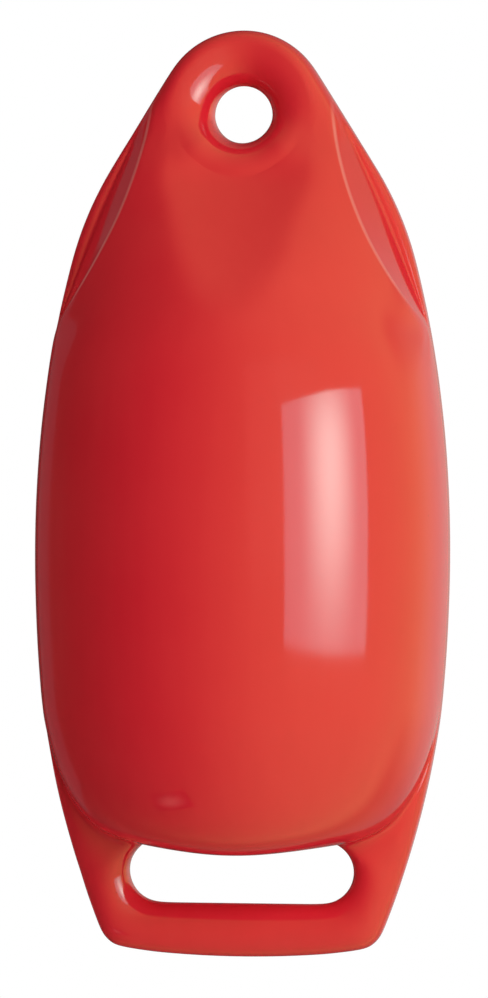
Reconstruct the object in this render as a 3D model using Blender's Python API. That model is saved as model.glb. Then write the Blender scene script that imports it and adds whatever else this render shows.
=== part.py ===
"""Pick-up buoy: one hollow moulding in red plastic, closed all round.

A round barrel is drawn out above into a thick eye for a mooring rope, and below
into two posts and a bar that make a hand loop. Scoops on both sides of the upper
half leave a thin fin along the mould's parting plane.

The rope eye's centre is the origin. X runs across the fin, Y along the eye's
hole and Z up. The front half faces -Y. Only the quarter with x >= 0 and y <= 0
is drawn, as a cage of quads; two mirrors and a subdivision finish it.
Sizes are in millimetres, heights are measured from the lowest point of the
hand loop, and depths from the parting plane.
"""

import math

import bmesh
import bpy

MM = 0.001
EDGE_POWER = 2.2
FIN_EDGE_SHARE = 0.6
HALF = 0.5

# Overall
LENGTH = 340.0
BARREL_RADIUS = 76.2
BARREL_HEIGHT = 150.0
UPPER_SIDE_CURVE = 440.0
LOWER_SIDE_CURVE = 580.0

# Shoulder and flank, seen from the front
SHOULDER_CURVE = 120.0
FLANK_ANGLE = math.radians(32.0)

# Rope eye
EYE_RADIUS = 31.0
EYE_THICKNESS = 30.0
HOLE_RADIUS = 10.6
CREST_RADIUS = 24.6
LOWER_CREST = 22.5
BOWL_POWER = 2.1
RIM_POWER = 2.3

# Front taper from the barrel to the eye
TAPER_ANGLE = math.radians(40.0)
TAPER_TOP = 304.0
TAPER_BLEND = 30.0
NECK_BLEND = 9.0
SQUARE_START = 275.0
ROUND_POWER = 2.0
WEDGE_POWER = 1.8
WEDGE_RISE = (215.0, 245.0)
SQUARE_POWER = 2.4
SQUARE_RISE = (265.0, 300.0)

# Side scoops and the fin between them
FIN_THICKNESS = 13.0
FIN_ROUNDING = 4.0
FIN_EDGE_COLUMN = 0.3
RIDGE_HALF_WIDTH = 32.4
RIDGE_CURVE = 143.0
RIDGE_TOP = 325.0
WALL_SHARE = 0.62
RIDGE_MARGIN = 0.5
RIDGE_SOFTNESS = 3.0
FOOT_SOFTNESS = 0.3
FIN_FADE_START = 300.0
FIN_FADE_END = 316.0
ROUND_TOP = 208.0
SCOOP_BOTTOM = 236.0

# Nearly flat tongue cut in the front below the eye
TONGUE_ANGLE = math.radians(37.8)
TONGUE_HEIGHT = 284.0
TONGUE_DEPTH = 24.9
TONGUE_DISH = 2.0
TONGUE_HALF_WIDTH = 23.5
TONGUE_EDGE = 2.0
SHELF_BLEND = 5.0

# Underside of the barrel
KINK_HEIGHT = 89.0
CORNER_RADIUS_POINT = 64.5
FLOOR_HEIGHT = 43.2
FLOOR_RADIUS = 38.5

# Posts and bar of the hand loop
POST_THICKNESS = 18.5
POST_ROUNDING = 8.0
POST_EDGE_SHARE = 0.75
POST_EDGE_POWER = 1.6
POST_EDGE_ANGLE = math.radians(9.0)
POST_EDGE_CURVE = 400.0
LOOP_CORNER_RADIUS = 12.0
LOOP_CORNER_ANGLES = (36.0, 70.0)
LOOP_SQUARENESS = 0.75
EDGE_HEIGHTS = (35.0, 27.5, 20.5)
BAR_BOW_RADIUS = 370.0
SLOT_END_RADIUS = 11.8
SLOT_HALF_WIDTH = 41.5
BAR_HEIGHT = 19.6
CREASE_DEPTH_MIN = 5.0
ROOT_ROUNDING = 4.0

# Quads of the cage
RIM_COLUMNS = 8
TONGUE_COLUMNS = 3
RING_STEP = 18.0
RING_STEPS = 5
BOWL_COLUMNS = 5
SCOOP_TOP_ANGLE = 20.0
NECK_ANGLE = -16.0
NECK_DROP = 9.0
BELL_ROWS = (
    (292.0, 294.5, 280.5),
    (282.0, 283.0, 273.5),
    (271.0, 271.5, 265.5),
    (260.0, 260.0, 256.5),
    (249.5, 249.0, 247.0),
    (240.0, 239.5, 238.5),
    (232.0, 232.0, 231.5),
    (224.0, 224.0, 224.0),
    (210.0, 210.0, 210.0),
    (185.0, 185.0, 185.0),
    (150.0, 150.0, 150.0),
    (118.0, 118.0, 118.0),
    (99.0, 99.0, 99.0),
)
CORNER_STEPS = 5
FLOOR_STEPS = 4
SLOT_END_ANGLES = (40.0, 0.0, -40.0, -80.0)
BAR_STEPS = 4
BAR_SPREAD = 1.25
LOOP_COLUMNS = 6
SUBDIVISIONS = 1
SMOOTHING_LOSS = 6.0

WALL_COLUMN = 4
RIDGE_COLUMN = WALL_COLUMN + 1
BARREL_ANGLES = (0.0, 1.8, 3.6, 5.4, 7.2, 17.5, 28.5, 40.0, 52.0, 64.5, 77.2, 90.0)

EYE_HEIGHT = LENGTH - EYE_RADIUS


def smooth_step(start, end, value):
    """Rise from 0 to 1 between two values, flat at both ends."""
    share = min(1.0, max(0.0, (value - start) / (end - start)))
    return share * share * (3.0 - 2.0 * share)


def mix(first, second, share):
    """Straight mixture of two numbers or of two points."""
    if isinstance(first, tuple):
        return tuple(mix(a, b, share) for a, b in zip(first, second))
    return first + (second - first) * share


def soft_min(first, second, blend):
    """Smaller of two values, rounded where they cross."""
    near = max(0.0, 1.0 - abs(first - second) / blend)
    return min(first, second) - near * near * blend / 4.0


def soft_max(first, second, blend):
    """Larger of two values, rounded where they cross."""
    return -soft_min(-first, -second, blend)


def rounded(distance, rounding, power=EDGE_POWER):
    """Height, from 0 to 1, of a rounded edge at a distance inside its outline."""
    inside = 1.0 - min(1.0, max(0.0, distance / rounding))
    return (1.0 - inside**power) ** (1.0 / power)


def touching_arc(centre_a, radius_a, centre_b, radius_b, radius):
    """Centre of an arc that touches two larger arcs from inside, on their +X side."""
    reach_a = radius_a - radius
    reach_b = radius_b - radius
    dx = centre_b[0] - centre_a[0]
    dz = centre_b[1] - centre_a[1]
    gap = math.hypot(dx, dz)
    along = (reach_a**2 - reach_b**2 + gap**2) / (2.0 * gap)
    across = math.sqrt(max(0.0, reach_a**2 - along**2))
    foot = (centre_a[0] + dx / gap * along, centre_a[1] + dz / gap * along)
    ends = [
        (foot[0] - dz / gap * across, foot[1] + dx / gap * across),
        (foot[0] + dz / gap * across, foot[1] - dx / gap * across),
    ]
    return max(ends)


def flank_half_width(height):
    """Half width of the straight flank that touches the eye's outline."""
    rise = height - EYE_HEIGHT
    return (EYE_RADIUS - rise * math.sin(FLANK_ANGLE)) / math.cos(FLANK_ANGLE)


def shoulder_arc():
    """Centre of the shoulder's arc, and the heights at which it starts and ends."""
    barrel_centre = (BARREL_RADIUS - UPPER_SIDE_CURVE, BARREL_HEIGHT)
    normal = (math.cos(FLANK_ANGLE), math.sin(FLANK_ANGLE))
    inset = EYE_RADIUS - SHOULDER_CURVE
    start = (normal[0] * inset, EYE_HEIGHT + normal[1] * inset)
    offset = (start[0] - barrel_centre[0], start[1] - barrel_centre[1])
    slope = offset[0] * -normal[1] + offset[1] * normal[0]
    reach = UPPER_SIDE_CURVE - SHOULDER_CURVE
    root = math.sqrt(max(0.0, slope**2 - offset[0] ** 2 - offset[1] ** 2 + reach**2))
    travel = -root - slope
    centre = (start[0] - normal[1] * travel, start[1] + normal[0] * travel)
    top = centre[1] + SHOULDER_CURVE * normal[1]
    ray = math.hypot(centre[0] - barrel_centre[0], centre[1] - barrel_centre[1])
    bottom = barrel_centre[1] + (centre[1] - barrel_centre[1]) / ray * UPPER_SIDE_CURVE
    return centre, bottom, top


SHOULDER_CENTRE, SHOULDER_BOTTOM, SHOULDER_END = shoulder_arc()
POST_EDGE_START = BARREL_RADIUS - LOWER_SIDE_CURVE + math.sqrt(
    LOWER_SIDE_CURVE**2 - (BARREL_HEIGHT - KINK_HEIGHT) ** 2
)
POST_EDGE_CENTRE = (
    POST_EDGE_START - POST_EDGE_CURVE * math.cos(POST_EDGE_ANGLE),
    KINK_HEIGHT + POST_EDGE_CURVE * math.sin(POST_EDGE_ANGLE),
)
LOOP_CORNER_CENTRE = touching_arc(
    POST_EDGE_CENTRE, POST_EDGE_CURVE, (0.0, BAR_BOW_RADIUS), BAR_BOW_RADIUS, LOOP_CORNER_RADIUS
)


def bell_half_width(height):
    """Half width of the outline above the kink, from the barrel to the eye."""
    if height >= EYE_HEIGHT + EYE_RADIUS * math.sin(FLANK_ANGLE):
        return math.sqrt(max(0.0, EYE_RADIUS**2 - (height - EYE_HEIGHT) ** 2))
    if height >= SHOULDER_END:
        return flank_half_width(height)
    if height >= SHOULDER_BOTTOM:
        rise = height - SHOULDER_CENTRE[1]
        return SHOULDER_CENTRE[0] + math.sqrt(SHOULDER_CURVE**2 - rise**2)
    curve = UPPER_SIDE_CURVE if height >= BARREL_HEIGHT else LOWER_SIDE_CURVE
    return BARREL_RADIUS - curve + math.sqrt(curve**2 - (height - BARREL_HEIGHT) ** 2)


def post_half_width(height):
    """Half width of the posts' outer edge, below the kink."""
    drop = POST_EDGE_CENTRE[1] - height
    return POST_EDGE_CENTRE[0] + math.sqrt(POST_EDGE_CURVE**2 - drop**2)


def bell_depth(height):
    """Depth of the front on the centre line, before the tongue is cut."""
    lean = soft_max(0.0, (TAPER_TOP - height) * math.tan(TAPER_ANGLE), NECK_BLEND)
    return soft_min(bell_half_width(height), EYE_THICKNESS / 2.0 + lean, TAPER_BLEND)


def bell_surface(x, height):
    """Depth of the body: round below, a wedge above it, squarer near the eye."""
    squareness = smooth_step(SQUARE_START, EYE_HEIGHT, height)
    flat = CREST_RADIUS * squareness
    power = mix(ROUND_POWER, WEDGE_POWER, smooth_step(*WEDGE_RISE, height))
    power = mix(power, SQUARE_POWER, smooth_step(*SQUARE_RISE, height))
    reach = min(1.0, max(0.0, (x - flat) / (bell_half_width(height) - flat)))
    return bell_depth(height) * (1.0 - reach**power) ** (1.0 / power)


def tongue_surface(x, height):
    """Depth of the nearly flat tongue, which starts at the eye's lower crest."""
    plane = TONGUE_DEPTH + (TONGUE_HEIGHT - height) * math.tan(TONGUE_ANGLE)
    dish = TONGUE_DISH * (x / TONGUE_HALF_WIDTH) ** 2
    return soft_max(LOWER_CREST, plane, SHELF_BLEND) + dish


def front_surface(x, height):
    """Depth of the front with its tongue cut in it."""
    body = bell_surface(x, height)
    if height < ROUND_TOP or body < EYE_THICKNESS / 2.0:
        return body
    return soft_min(body, tongue_surface(x, height), TONGUE_EDGE)


def ridge_half_width(height):
    """Half width of the edge between the front and a side scoop."""
    drop = max(0.0, RIDGE_TOP - height)
    arc = RIDGE_CURVE - math.sqrt(max(0.0, RIDGE_CURVE**2 - drop**2))
    return min(RIDGE_HALF_WIDTH + arc, bell_half_width(height) - RIDGE_MARGIN)


def swell(step):
    """Factor that keeps a round section's size when its cage is smoothed."""
    return 3.0 / (2.0 + math.cos(step))


def barrel_angle(column):
    """Angle of a barrel column from the parting plane, and the widest step beside it."""
    angles = [math.radians(angle) for angle in BARREL_ANGLES]
    before = angles[column] - angles[max(0, column - 1)]
    after = angles[min(len(angles) - 1, column + 1)] - angles[column]
    return angles[column], max(before, after)


def fin_edge(height):
    """Width of the fin's rounded edge, and the half width at the foot of the scoop's wall."""
    width = bell_half_width(height)
    foot = mix(ridge_half_width(height), width, WALL_SHARE)
    return min(FIN_ROUNDING, (width - foot) * FIN_EDGE_SHARE), foot


def scoop_columns(height):
    """Half widths of a row's columns where it crosses the fin, the scoop and the front."""
    width = bell_half_width(height)
    ridge = ridge_half_width(height)
    edge, foot = fin_edge(height)
    past = ridge - RIDGE_SOFTNESS
    crest = min(CREST_RADIUS, past - RIDGE_SOFTNESS)
    fin = [width, width - edge * FIN_EDGE_COLUMN, width - edge]
    return fin + [foot, mix(foot, ridge, HALF), ridge, past, mix(past, crest, HALF), crest]


def scoop_surface(x, height):
    """Depth of the front, the scoop's wall or the fin at a point."""
    front = front_surface(x, height)
    ridge = ridge_half_width(height)
    if x <= ridge:
        return front
    edge, foot = fin_edge(height)
    fade = smooth_step(FIN_FADE_START, FIN_FADE_END, height)
    floor = mix(FIN_THICKNESS, EYE_THICKNESS, fade) / 2.0
    fin = floor * rounded(bell_half_width(height) - x, edge)
    if x >= foot:
        return min(front, fin)
    top = front_surface(ridge, height)
    share = soft_max(0.0, (foot - x) / (foot - ridge), FOOT_SOFTNESS)
    return min(front, mix(min(fin, top), top, min(1.0, share)))


def row_growth(height, gap):
    """Factor that keeps the barrel's bulge when rows a gap apart are smoothed."""
    if height > SHOULDER_BOTTOM:
        return 1.0
    curve = UPPER_SIDE_CURVE if height >= BARREL_HEIGHT else LOWER_SIDE_CURVE
    return 1.0 + gap**2 / (SMOOTHING_LOSS * curve * bell_half_width(height))


def bell_point(column, height, gap, tongue_x=None):
    """Cage point of a row that crosses the barrel, the taper or the tongue."""
    angle, step = barrel_angle(column)
    share = smooth_step(ROUND_TOP, SCOOP_BOTTOM, height)
    growth = 1.0 if column < RIDGE_COLUMN else mix(swell(step), 1.0, share)
    growth *= row_growth(height, gap)
    x = bell_half_width(height) * math.cos(angle)
    if share > 0.0:
        x = mix(x, scoop_columns(height)[column] if tongue_x is None else tongue_x, share)
    if column == len(BARREL_ANGLES) - 1:
        x = 0.0
    depth = front_surface(x, height)
    if column < RIDGE_COLUMN:
        depth = mix(bell_half_width(height) * math.sin(angle), scoop_surface(x, height), share)
    return (x * growth, depth * growth, height)


def crest_point(angle):
    """Place of the eye's crest, seen from the front, at an angle round the hole."""
    turn = math.radians(angle)
    across = 0.0 if abs(angle) == 90.0 else math.cos(turn)
    return (CREST_RADIUS * across, EYE_HEIGHT + CREST_RADIUS * math.sin(turn))


def rim_point(angle, share):
    """Point of the eye's thick rim, from its outline to its crest."""
    turn = math.radians(angle)
    over = turn - FLANK_ANGLE
    outer = EYE_RADIUS if over >= 0.0 else EYE_RADIUS / math.cos(over)
    outer *= swell(math.radians(RING_STEP))
    inward = 1.0 - math.cos(share * math.pi / 2.0) ** (2.0 / RIM_POWER)
    radius = mix(outer, CREST_RADIUS, inward)
    depth = bell_depth(crest_point(angle)[1]) * math.sin(share * math.pi / 2.0) ** (2.0 / RIM_POWER)
    return (radius * math.cos(turn), depth, EYE_HEIGHT + radius * math.sin(turn))


def neck_line(angle):
    """Row of the cage from the outline to the eye's crest, beside and above the hole."""
    points = [rim_point(angle, column / RIM_COLUMNS) for column in range(RIM_COLUMNS + 1)]
    scooped = smooth_step(SCOOP_TOP_ANGLE, NECK_ANGLE, angle)
    if scooped == 0.0:
        return points
    outer_height = mix(points[0][2], EYE_HEIGHT - NECK_DROP, scooped)
    widths = scoop_columns(outer_height)
    inner = crest_point(angle)
    line = []
    for column, plain in enumerate(points):
        share = (widths[0] - widths[column]) / (widths[0] - widths[-1])
        x, height = mix((widths[0], outer_height), inner, share)
        line.append(mix(plain, (x, scoop_surface(x, height), height), scooped))
    return line


def corner_point(share):
    """Radius and height of the barrel's lower corner, from its side to its floor."""
    start = (POST_EDGE_START, KINK_HEIGHT)
    corner = (CORNER_RADIUS_POINT, FLOOR_HEIGHT)
    end = (FLOOR_RADIUS, FLOOR_HEIGHT)
    return mix(mix(start, corner, share), mix(corner, end, share), share)


def corner_row(index):
    """Row that runs from a post's outer edge over the crease and round the barrel."""
    share = index / CORNER_STEPS
    radius, height = corner_point(share)
    outer_height = mix(KINK_HEIGHT, EDGE_HEIGHTS[0], share)
    outer = post_half_width(outer_height)
    proud = max(0.0, post_half_width(height) - radius)
    crease = max(CREASE_DEPTH_MIN, POST_THICKNESS / 2.0 * rounded(proud, POST_ROUNDING))
    start = math.asin(crease / radius)
    points = []
    for column in range(WALL_COLUMN + 1):
        along = column / WALL_COLUMN
        inward = along * along
        x = mix(outer, math.sqrt(radius**2 - crease**2), inward)
        rise = rounded(along, POST_EDGE_SHARE, POST_EDGE_POWER)
        points.append((x, crease * rise, mix(outer_height, height, inward)))
    last = len(BARREL_ANGLES) - 1
    step = (math.pi / 2.0 - start) / (last - WALL_COLUMN)
    reach = radius * swell(step)
    for column in range(RIDGE_COLUMN, last):
        angle = start + step * (column - WALL_COLUMN)
        points.append((reach * math.cos(angle), reach * math.sin(angle), height))
    points.append((0.0, reach, height))
    return points


def slot_point(angle):
    """Point of the hand slot's round end."""
    turn = math.radians(angle)
    centre = SLOT_HALF_WIDTH - SLOT_END_RADIUS
    middle = BAR_HEIGHT + SLOT_END_RADIUS
    return (centre + SLOT_END_RADIUS * math.cos(turn), middle + SLOT_END_RADIUS * math.sin(turn))


def loop_corner(angle):
    """Point of the hand loop's lower corner, at an angle below level."""
    turn = math.radians(angle)
    x = LOOP_CORNER_CENTRE[0] + LOOP_CORNER_RADIUS * math.cos(turn)
    return (x, LOOP_CORNER_CENTRE[1] - LOOP_CORNER_RADIUS * math.sin(turn))


def bar_bow(x):
    """Height of the bar's bowed lower edge."""
    return BAR_BOW_RADIUS - math.sqrt(BAR_BOW_RADIUS**2 - x**2)


def loop_ends():
    """Outer and inner points, seen from the front, of the rows round the hand loop."""
    outer = [(post_half_width(height), height) for height in EDGE_HEIGHTS[1:]]
    outer += [loop_corner(angle) for angle in LOOP_CORNER_ANGLES]
    inner = [slot_point(angle) for angle in SLOT_END_ANGLES]
    end = SLOT_HALF_WIDTH - SLOT_END_RADIUS
    for step in range(1, BAR_STEPS + 1):
        x = end * (1.0 - step / BAR_STEPS)
        outer.append((x * BAR_SPREAD, bar_bow(x * BAR_SPREAD)))
        inner.append((x, BAR_HEIGHT))
    return list(zip(outer, inner))


def loop_row(outer, inner):
    """Row round one section of the posts or the bar, outer edge to slot."""
    row = []
    growth = swell(math.pi / LOOP_COLUMNS)
    for step in range(LOOP_COLUMNS + 1):
        turn = step * math.pi / LOOP_COLUMNS
        x, height = mix(outer, inner, (1.0 - math.cos(turn) * growth) / 2.0)
        depth = POST_THICKNESS / 2.0 * abs(math.sin(turn)) ** LOOP_SQUARENESS
        row.append((x, 0.0 if step in (0, LOOP_COLUMNS) else depth, height))
    return row


def bowl_row(crest):
    """Row from the eye's crest down its inner side to the middle of the hole."""
    power = 2.0 / BOWL_POWER
    hole = HOLE_RADIUS / swell(math.radians(RING_STEP))
    row = []
    for step in range(BOWL_COLUMNS + 1):
        turn = step / BOWL_COLUMNS * math.pi / 2.0
        share = mix(CREST_RADIUS, hole, math.sin(turn) ** power) / CREST_RADIUS
        depth = 0.0 if step == BOWL_COLUMNS else crest[1] * math.cos(turn) ** power
        row.append((crest[0] * share, depth, EYE_HEIGHT + (crest[2] - EYE_HEIGHT) * share))
    return row


def floor_patch(rim):
    """Grid that closes the barrel's floor between the posts."""
    across = len(rim) - 1 - FLOOR_STEPS
    side = rim[: FLOOR_STEPS + 1]
    far = rim[FLOOR_STEPS:]
    centre = (0.0, 0.0, FLOOR_HEIGHT)
    patch = []
    for row in range(FLOOR_STEPS + 1):
        v = row / FLOOR_STEPS
        line = []
        for column in range(across + 1):
            u = column / across
            near_y = mix(centre, side[0], u)
            far_y = far[across - column]
            near_x = mix(centre, far[-1], v)
            far_x = side[row]
            flat = mix(mix(centre, side[0], u), mix(far[-1], far[0], u), v)
            sides = zip(mix(near_y, far_y, v), mix(near_x, far_x, u), flat)
            line.append(tuple(a + b - both for a, b, both in sides))
        patch.append(line)
    return patch


def add_grid(mesh, rows):
    """Add a grid of points and its quads to the mesh."""
    corners = []
    for row in rows:
        corners.append([mesh.verts.new((x * MM, -y * MM, (z - EYE_HEIGHT) * MM)) for x, y, z in row])
    for upper, lower in zip(corners, corners[1:]):
        for column in range(len(upper) - 1):
            quad = (upper[column], upper[column + 1], lower[column + 1], lower[column])
            mesh.faces.new(quad)


def build_cage():
    """Quarter of the buoy as a mesh of quads."""
    angles = [RING_STEP * step for step in range(RING_STEPS, -1, -1)] + [NECK_ANGLE]
    rim_rows = [neck_line(angle) for angle in angles]
    rim_rows[0] = [(0.0, depth, height) for _, depth, height in rim_rows[0]]
    arc = [rim_rows[-1][-1]]
    for step in range(1, TONGUE_COLUMNS + 1):
        x, height = crest_point(mix(NECK_ANGLE, -90.0, step / TONGUE_COLUMNS))
        arc.append((x, front_surface(x, height), height))
    outer_rows = list(rim_rows)
    inner_rows = [arc]
    outlines = [EYE_HEIGHT - NECK_DROP] + [row[0] for row in BELL_ROWS] + [KINK_HEIGHT]
    for index, (outline, crest, middle) in enumerate(BELL_ROWS):
        gap = (outlines[index] - outlines[index + 2]) / 2.0
        row = []
        for column in range(RIM_COLUMNS + 1):
            row.append(bell_point(column, mix(outline, crest, column / RIM_COLUMNS), gap))
        outer_rows.append(row)
        inner = [row[-1]]
        for step in range(1, TONGUE_COLUMNS + 1):
            share = step / TONGUE_COLUMNS
            height = mix(crest, middle, share)
            across = scoop_columns(crest)[-1] * (1.0 - share)
            inner.append(bell_point(RIM_COLUMNS + step, height, gap, across))
        inner_rows.append(inner)
    for index in range(CORNER_STEPS + 1):
        row = corner_row(index)
        outer_rows.append(row[: RIM_COLUMNS + 1])
        inner_rows.append(row[RIM_COLUMNS:])

    last = outer_rows[-1]
    crease = last[WALL_COLUMN]
    root = (crease[0] - ROOT_ROUNDING, 0.0, FLOOR_HEIGHT)
    turn = math.pi / 4.0
    bend = (crease[0] - ROOT_ROUNDING * math.sin(turn), crease[1] * math.cos(turn), FLOOR_HEIGHT)
    loop_rows = [last[: WALL_COLUMN + 1] + [bend, root]]
    loop_rows += [loop_row(outer, inner) for outer, inner in loop_ends()]
    rim = [root, bend] + last[WALL_COLUMN:] + inner_rows[-1][1:]
    bowl_rows = [bowl_row(row[-1]) for row in rim_rows[:-1]] + [bowl_row(point) for point in arc]

    mesh = bmesh.new()
    add_grid(mesh, outer_rows)
    add_grid(mesh, inner_rows)
    add_grid(mesh, bowl_rows)
    add_grid(mesh, loop_rows)
    add_grid(mesh, floor_patch(rim))
    bmesh.ops.remove_doubles(mesh, verts=mesh.verts, dist=0.01 * MM)
    bmesh.ops.recalc_face_normals(mesh, faces=mesh.faces)
    return mesh


def red_plastic():
    """Glossy red moulded plastic."""
    material = bpy.data.materials.new("red_plastic")
    material.use_nodes = True
    shader = material.node_tree.nodes["Principled BSDF"]
    shader.inputs["Base Color"].default_value = (0.68, 0.035, 0.026, 1.0)
    shader.inputs["Roughness"].default_value = 0.18
    shader.inputs["Metallic"].default_value = 0.0
    return material


def build_buoy():
    """The whole moulding as one object."""
    mesh = bpy.data.meshes.new("buoy_body")
    cage = build_cage()
    cage.to_mesh(mesh)
    cage.free()
    mesh.materials.append(red_plastic())
    buoy = bpy.data.objects.new("buoy_body", mesh)
    bpy.context.scene.collection.objects.link(buoy)
    mirror = buoy.modifiers.new("Halves", "MIRROR")
    mirror.use_axis = (True, True, False)
    mirror.use_clip = True
    mirror.merge_threshold = 0.00005
    smooth = buoy.modifiers.new("Smooth", "SUBSURF")
    smooth.levels = SUBDIVISIONS
    smooth.render_levels = SUBDIVISIONS
    mesh.shade_smooth()
    return buoy


def clear_scene():
    """Remove the objects that the file starts with."""
    for item in list(bpy.data.objects):
        bpy.data.objects.remove(item, do_unlink=True)


clear_scene()
build_buoy()
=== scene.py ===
"""Pick-up buoy in red moulded plastic: its fine surface, its finish and a plain studio.

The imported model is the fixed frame. The one moulding is drawn again with the same
rules as its solid, four times as fine, from one quarter: a Geometry Nodes tree
mirrors and smooths the quarter and raises the thin seam of the mould.
"""

import logging
import math
from dataclasses import dataclass
from enum import Enum

import bmesh
import bpy
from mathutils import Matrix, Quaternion, Vector


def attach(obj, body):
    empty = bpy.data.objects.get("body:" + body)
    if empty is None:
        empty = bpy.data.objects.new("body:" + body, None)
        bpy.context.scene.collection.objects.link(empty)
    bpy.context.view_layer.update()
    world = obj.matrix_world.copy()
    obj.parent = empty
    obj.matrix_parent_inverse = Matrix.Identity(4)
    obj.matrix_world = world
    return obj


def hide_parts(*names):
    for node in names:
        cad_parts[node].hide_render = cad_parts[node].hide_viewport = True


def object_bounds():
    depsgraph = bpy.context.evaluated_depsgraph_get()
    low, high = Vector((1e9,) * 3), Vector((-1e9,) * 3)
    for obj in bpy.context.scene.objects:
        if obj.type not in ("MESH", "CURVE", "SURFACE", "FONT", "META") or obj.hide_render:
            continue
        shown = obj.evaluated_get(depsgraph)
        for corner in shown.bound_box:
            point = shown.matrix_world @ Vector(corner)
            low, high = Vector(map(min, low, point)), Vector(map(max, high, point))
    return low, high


log = logging.getLogger("buoy")

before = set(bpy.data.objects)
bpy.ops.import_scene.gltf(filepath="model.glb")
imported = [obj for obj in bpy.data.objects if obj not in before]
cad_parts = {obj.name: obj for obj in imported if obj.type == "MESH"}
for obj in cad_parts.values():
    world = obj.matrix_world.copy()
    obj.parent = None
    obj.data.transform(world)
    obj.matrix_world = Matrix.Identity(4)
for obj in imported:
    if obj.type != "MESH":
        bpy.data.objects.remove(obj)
CAD_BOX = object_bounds()

MM = 0.001
MERGE_DISTANCE = 0.01 * MM
RIGHT_ANGLE = 90.0
WHITE = (1.0, 1.0, 1.0, 1.0)
Pair = tuple[float, float]
Point = tuple[float, float, float]


def smooth_step(start: float, end: float, value: float) -> float:
    """Rise from 0 to 1 between two values, flat at both ends.

    Args:
        start: Value at which the result leaves 0.
        end: Value at which the result reaches 1.
        value: Value to place between them.

    Returns:
        Share between 0 and 1.
    """
    share = min(1.0, max(0.0, (value - start) / (end - start)))
    return share * share * (3.0 - 2.0 * share)


def mix(first: float, second: float, share: float) -> float:
    """Return the straight mixture of two numbers."""
    return first + (second - first) * share


def mix_points(first: tuple, second: tuple, share: float) -> tuple:
    """Return the straight mixture of two points."""
    return tuple(mix(a, b, share) for a, b in zip(first, second))


def soft_min(first: float, second: float, blend: float) -> float:
    """Return the smaller of two values, rounded where they cross."""
    near = max(0.0, 1.0 - abs(first - second) / blend)
    return min(first, second) - near * near * blend / 4.0


def soft_max(first: float, second: float, blend: float) -> float:
    """Return the larger of two values, rounded where they cross."""
    return -soft_min(-first, -second, blend)


def rounded(distance: float, rounding: float, power: float) -> float:
    """Height of a rounded edge inside its outline.

    Args:
        distance: Distance inside the outline.
        rounding: Distance at which the full height is reached.
        power: 2 for a round edge, more for a squarer one.

    Returns:
        Share of the full height, from 0 to 1.
    """
    inside = 1.0 - min(1.0, max(0.0, distance / rounding))
    return (1.0 - inside**power) ** (1.0 / power)


def refined(values: list[float]) -> list[float]:
    """Return the list with the middle of each step added.

    Args:
        values: Numbers in order.

    Returns:
        Numbers with the new ones between them.
    """
    result = [values[0]]
    for before, after in zip(values, values[1:]):
        result += [mix(before, after, 0.5), after]
    return result


def swell(step: float) -> float:
    """Return the factor that keeps a round section's size when its cage is smoothed."""
    return 3.0 / (2.0 + math.cos(step))


def direction(azimuth: float, elevation: float) -> Vector:
    """Return the way out from the buoy at two angles in degrees, 0 and 0 straight in front."""
    turn, rise = math.radians(azimuth), math.radians(elevation)
    return Vector((math.sin(turn) * math.cos(rise), -math.cos(turn) * math.cos(rise), math.sin(rise)))


def placed(name: str, data: bpy.types.ID) -> bpy.types.Object:
    """Make an object of the scene from its data.

    Args:
        name: Name of the object.
        data: Its mesh or camera.

    Returns:
        The new object.
    """
    thing = bpy.data.objects.new(name, data)
    bpy.context.scene.collection.objects.link(thing)
    return thing


@dataclass(frozen=True)
class BarrelSizes:
    """Barrel, shoulder and flanks."""

    length: float = 340.0
    radius: float = 76.2
    height: float = 150.0
    upper_curve: float = 440.0
    lower_curve: float = 580.0
    shoulder_curve: float = 120.0
    flank_angle: float = math.radians(32.0)
    kink_height: float = 89.0
    corner_radius_point: float = 64.5
    floor_height: float = 43.2
    floor_radius: float = 38.5
    floor_crown: float = 2.6
    crown_power: float = 4.0


@dataclass(frozen=True)
class EyeSizes:
    """Rope eye: a fat ring with a broad bowl on both faces."""

    radius: float = 31.0
    thickness: float = 30.0
    hole_radius: float = 10.6
    crest_radius: float = 24.6
    bowl_power: float = 2.1
    rim_power: float = 2.3
    lower_crest: float = 22.5


@dataclass(frozen=True)
class FrontSizes:
    """Front that leans from the barrel to the eye, and the flat tongue cut in it."""

    taper_angle: float = math.radians(40.0)
    taper_top: float = 304.0
    taper_blend: float = 30.0
    neck_blend: float = 9.0
    square_start: float = 275.0
    round_power: float = 2.0
    wedge_drop: float = 0.2
    wedge_span: Pair = (215.0, 245.0)
    square_gain: float = 0.6
    square_span: Pair = (265.0, 300.0)
    tongue_angle: float = math.radians(37.8)
    tongue_height: float = 284.0
    tongue_depth: float = 24.9
    tongue_dish: float = 2.0
    tongue_half_width: float = 23.5
    tongue_edge: float = 2.0
    shelf_blend: float = 5.0


@dataclass(frozen=True)
class ScoopSizes:
    """Side scoops and the thin fin between them."""

    fin_thickness: float = 13.0
    fin_rounding: float = 4.0
    fin_edge_share: float = 0.6
    edge_power: float = 2.2
    ridge_half_width: float = 32.4
    ridge_curve: float = 143.0
    ridge_top: float = 325.0
    ridge_margin: float = 0.5
    wall_share: float = 0.62
    wall_blend: float = 0.3
    crisp_ridge: float = 1.6
    soft_ridge: float = 5.0
    fade_start: float = 300.0
    fade_end: float = 316.0
    round_top: float = 208.0
    bottom: float = 236.0


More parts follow.
